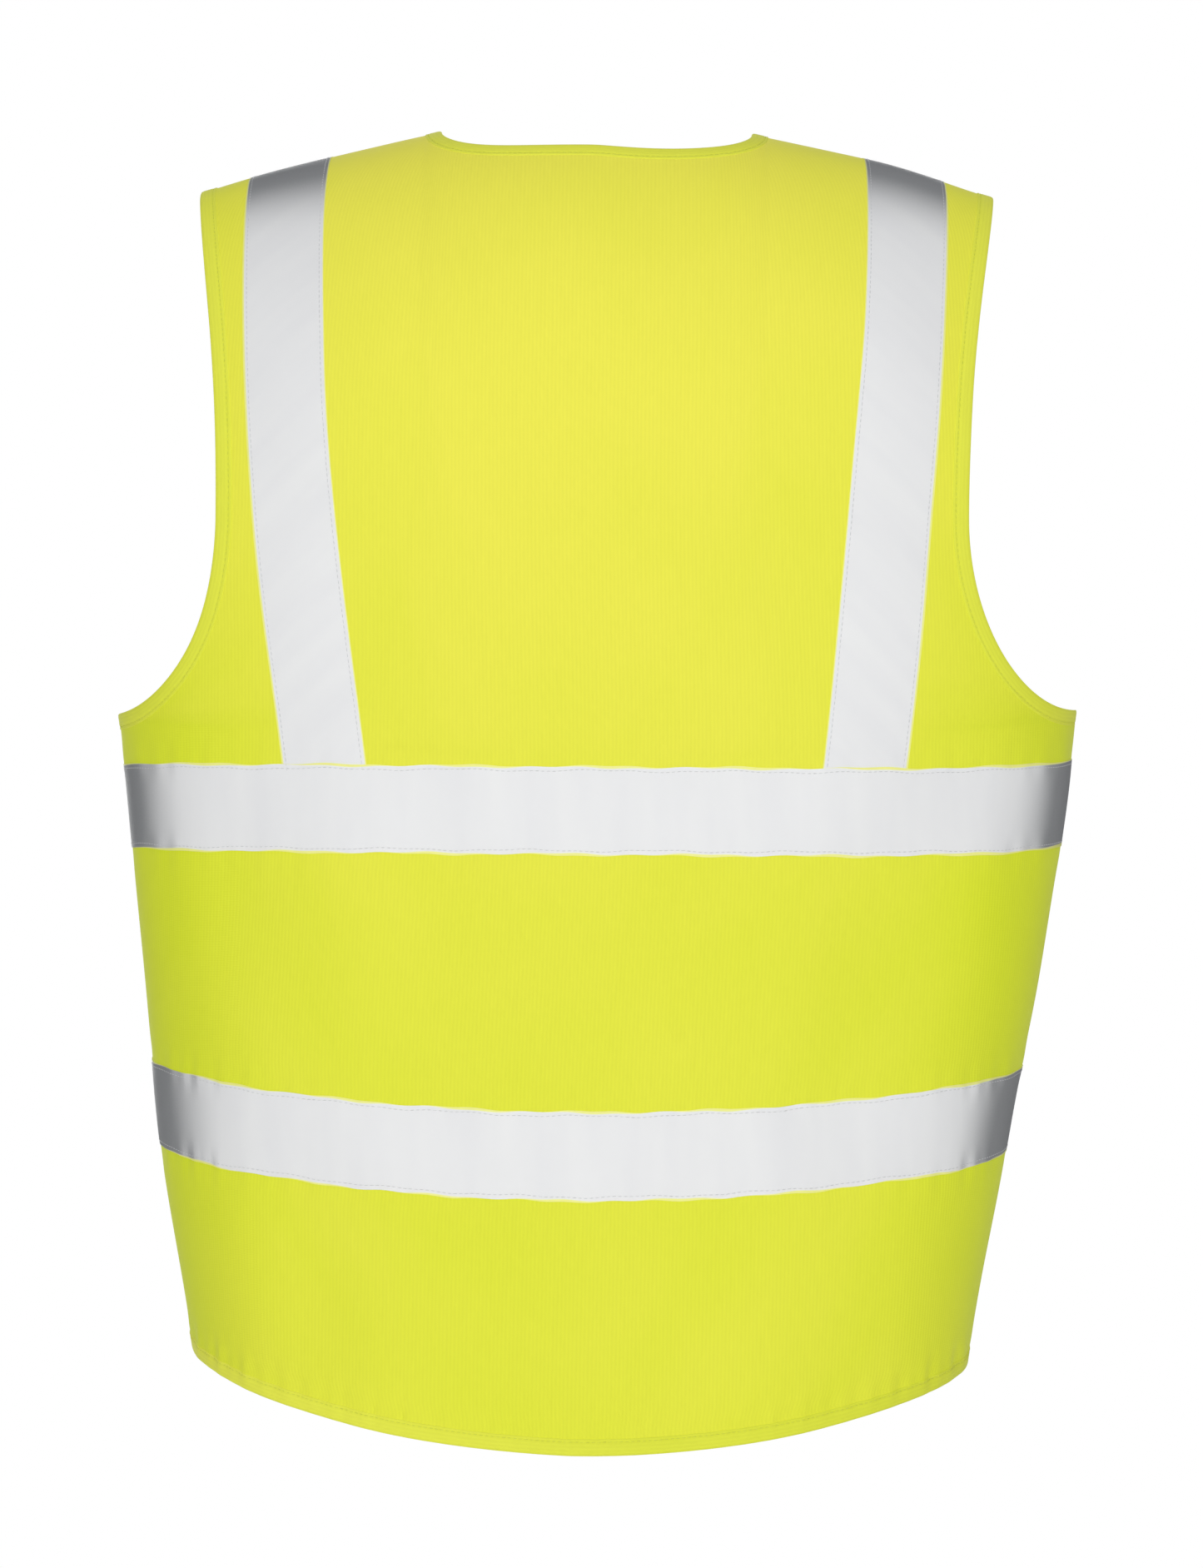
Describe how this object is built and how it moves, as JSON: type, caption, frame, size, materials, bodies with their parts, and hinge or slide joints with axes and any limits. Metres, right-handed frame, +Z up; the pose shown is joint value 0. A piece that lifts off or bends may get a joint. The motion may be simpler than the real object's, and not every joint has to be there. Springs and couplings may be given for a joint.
{
  "type": "high visibility vest",
  "caption": "Sleeveless knitted safety vest with reflective bands round chest and waist, reflective shoulder braces, bound edges and an open-end front zip.",
  "frame": {"origin": "midway between the two high shoulder points, where the shoulder seams meet the neck edge", "axes": "+Z up, the wearer faces -Y, +X is the wearer's left"},
  "size_m": [0.5702, 0.2854, 0.7612],
  "materials": {
    "hi_vis_knit": "fluorescent yellow polyester knit, matt with a faint sheen",
    "knit_binding": "the same knit folded double",
    "reflective_tape": "silver glass-bead retroreflective tape, satin",
    "zip_cloth": "woven herringbone tape",
    "zip_plastic": "moulded teeth, satin",
    "zip_metal": "nickel plated, worn satin",
    "label_cloth": "blank woven satin label"
  },
  "bodies": {
    "vest_body": {"back_panel": "hi_vis_knit", "left_front_side_panel": "hi_vis_knit", "right_front_side_panel": "hi_vis_knit", "neck_binding": "knit_binding", "left_armhole_binding": "knit_binding", "right_armhole_binding": "knit_binding", "hem_binding": "knit_binding", "chest_band_back": "reflective_tape", "left_chest_band_side": "reflective_tape", "right_chest_band_side": "reflective_tape", "waist_band_back": "reflective_tape", "left_waist_band_side": "reflective_tape", "right_waist_band_side": "reflective_tape", "left_brace": "reflective_tape", "right_brace": "reflective_tape", "care_label": "label_cloth"},
    "left_front": {"left_front_panel": "hi_vis_knit", "left_front_neck_binding": "knit_binding", "left_front_hem_binding": "knit_binding", "left_chest_band_front": "reflective_tape", "left_waist_band_front": "reflective_tape", "left_zip_tape": "zip_cloth", "left_zip_teeth": "zip_plastic", "left_zip_top_stop": "zip_metal", "zip_retainer_pin": "zip_plastic", "zip_retainer_box": "zip_plastic"},
    "right_front": {"right_front_panel": "hi_vis_knit", "right_front_neck_binding": "knit_binding", "right_front_hem_binding": "knit_binding", "right_chest_band_front": "reflective_tape", "right_waist_band_front": "reflective_tape", "right_zip_tape": "zip_cloth", "right_zip_teeth": "zip_plastic", "right_zip_top_stop": "zip_metal", "zip_insertion_pin": "zip_plastic"},
    "zip_slider": {"zip_slider": "zip_metal", "zip_slider_bridge": "zip_metal"},
    "zip_pull": {"zip_pull": "zip_metal"}
  },
  "joints": [
    {"name": "left_front_open", "type": "hinge", "parent": "vest_body", "child": "left_front", "pos_m": [0.05361, -0.1201, -0.11], "axis": [-0.1449, -0.0052, 0.9894], "range_deg": [0, 100]},
    {"name": "right_front_open", "type": "hinge", "parent": "vest_body", "child": "right_front", "pos_m": [-0.05361, -0.1201, -0.11], "axis": [-0.1449, 0.0052, -0.9894], "range_deg": [0, 100]},
    {"name": "zip_slide", "type": "slide", "parent": "left_front", "child": "zip_slider", "axis": [0, 0, -1], "range_m": [0, 0.481]},
    {"name": "pull_swing", "type": "hinge", "parent": "zip_slider", "child": "zip_pull", "pos_m": [0, -0.1203, -0.2588], "axis": [-1, 0, 0], "range_deg": [0, 170]}
  ]
}
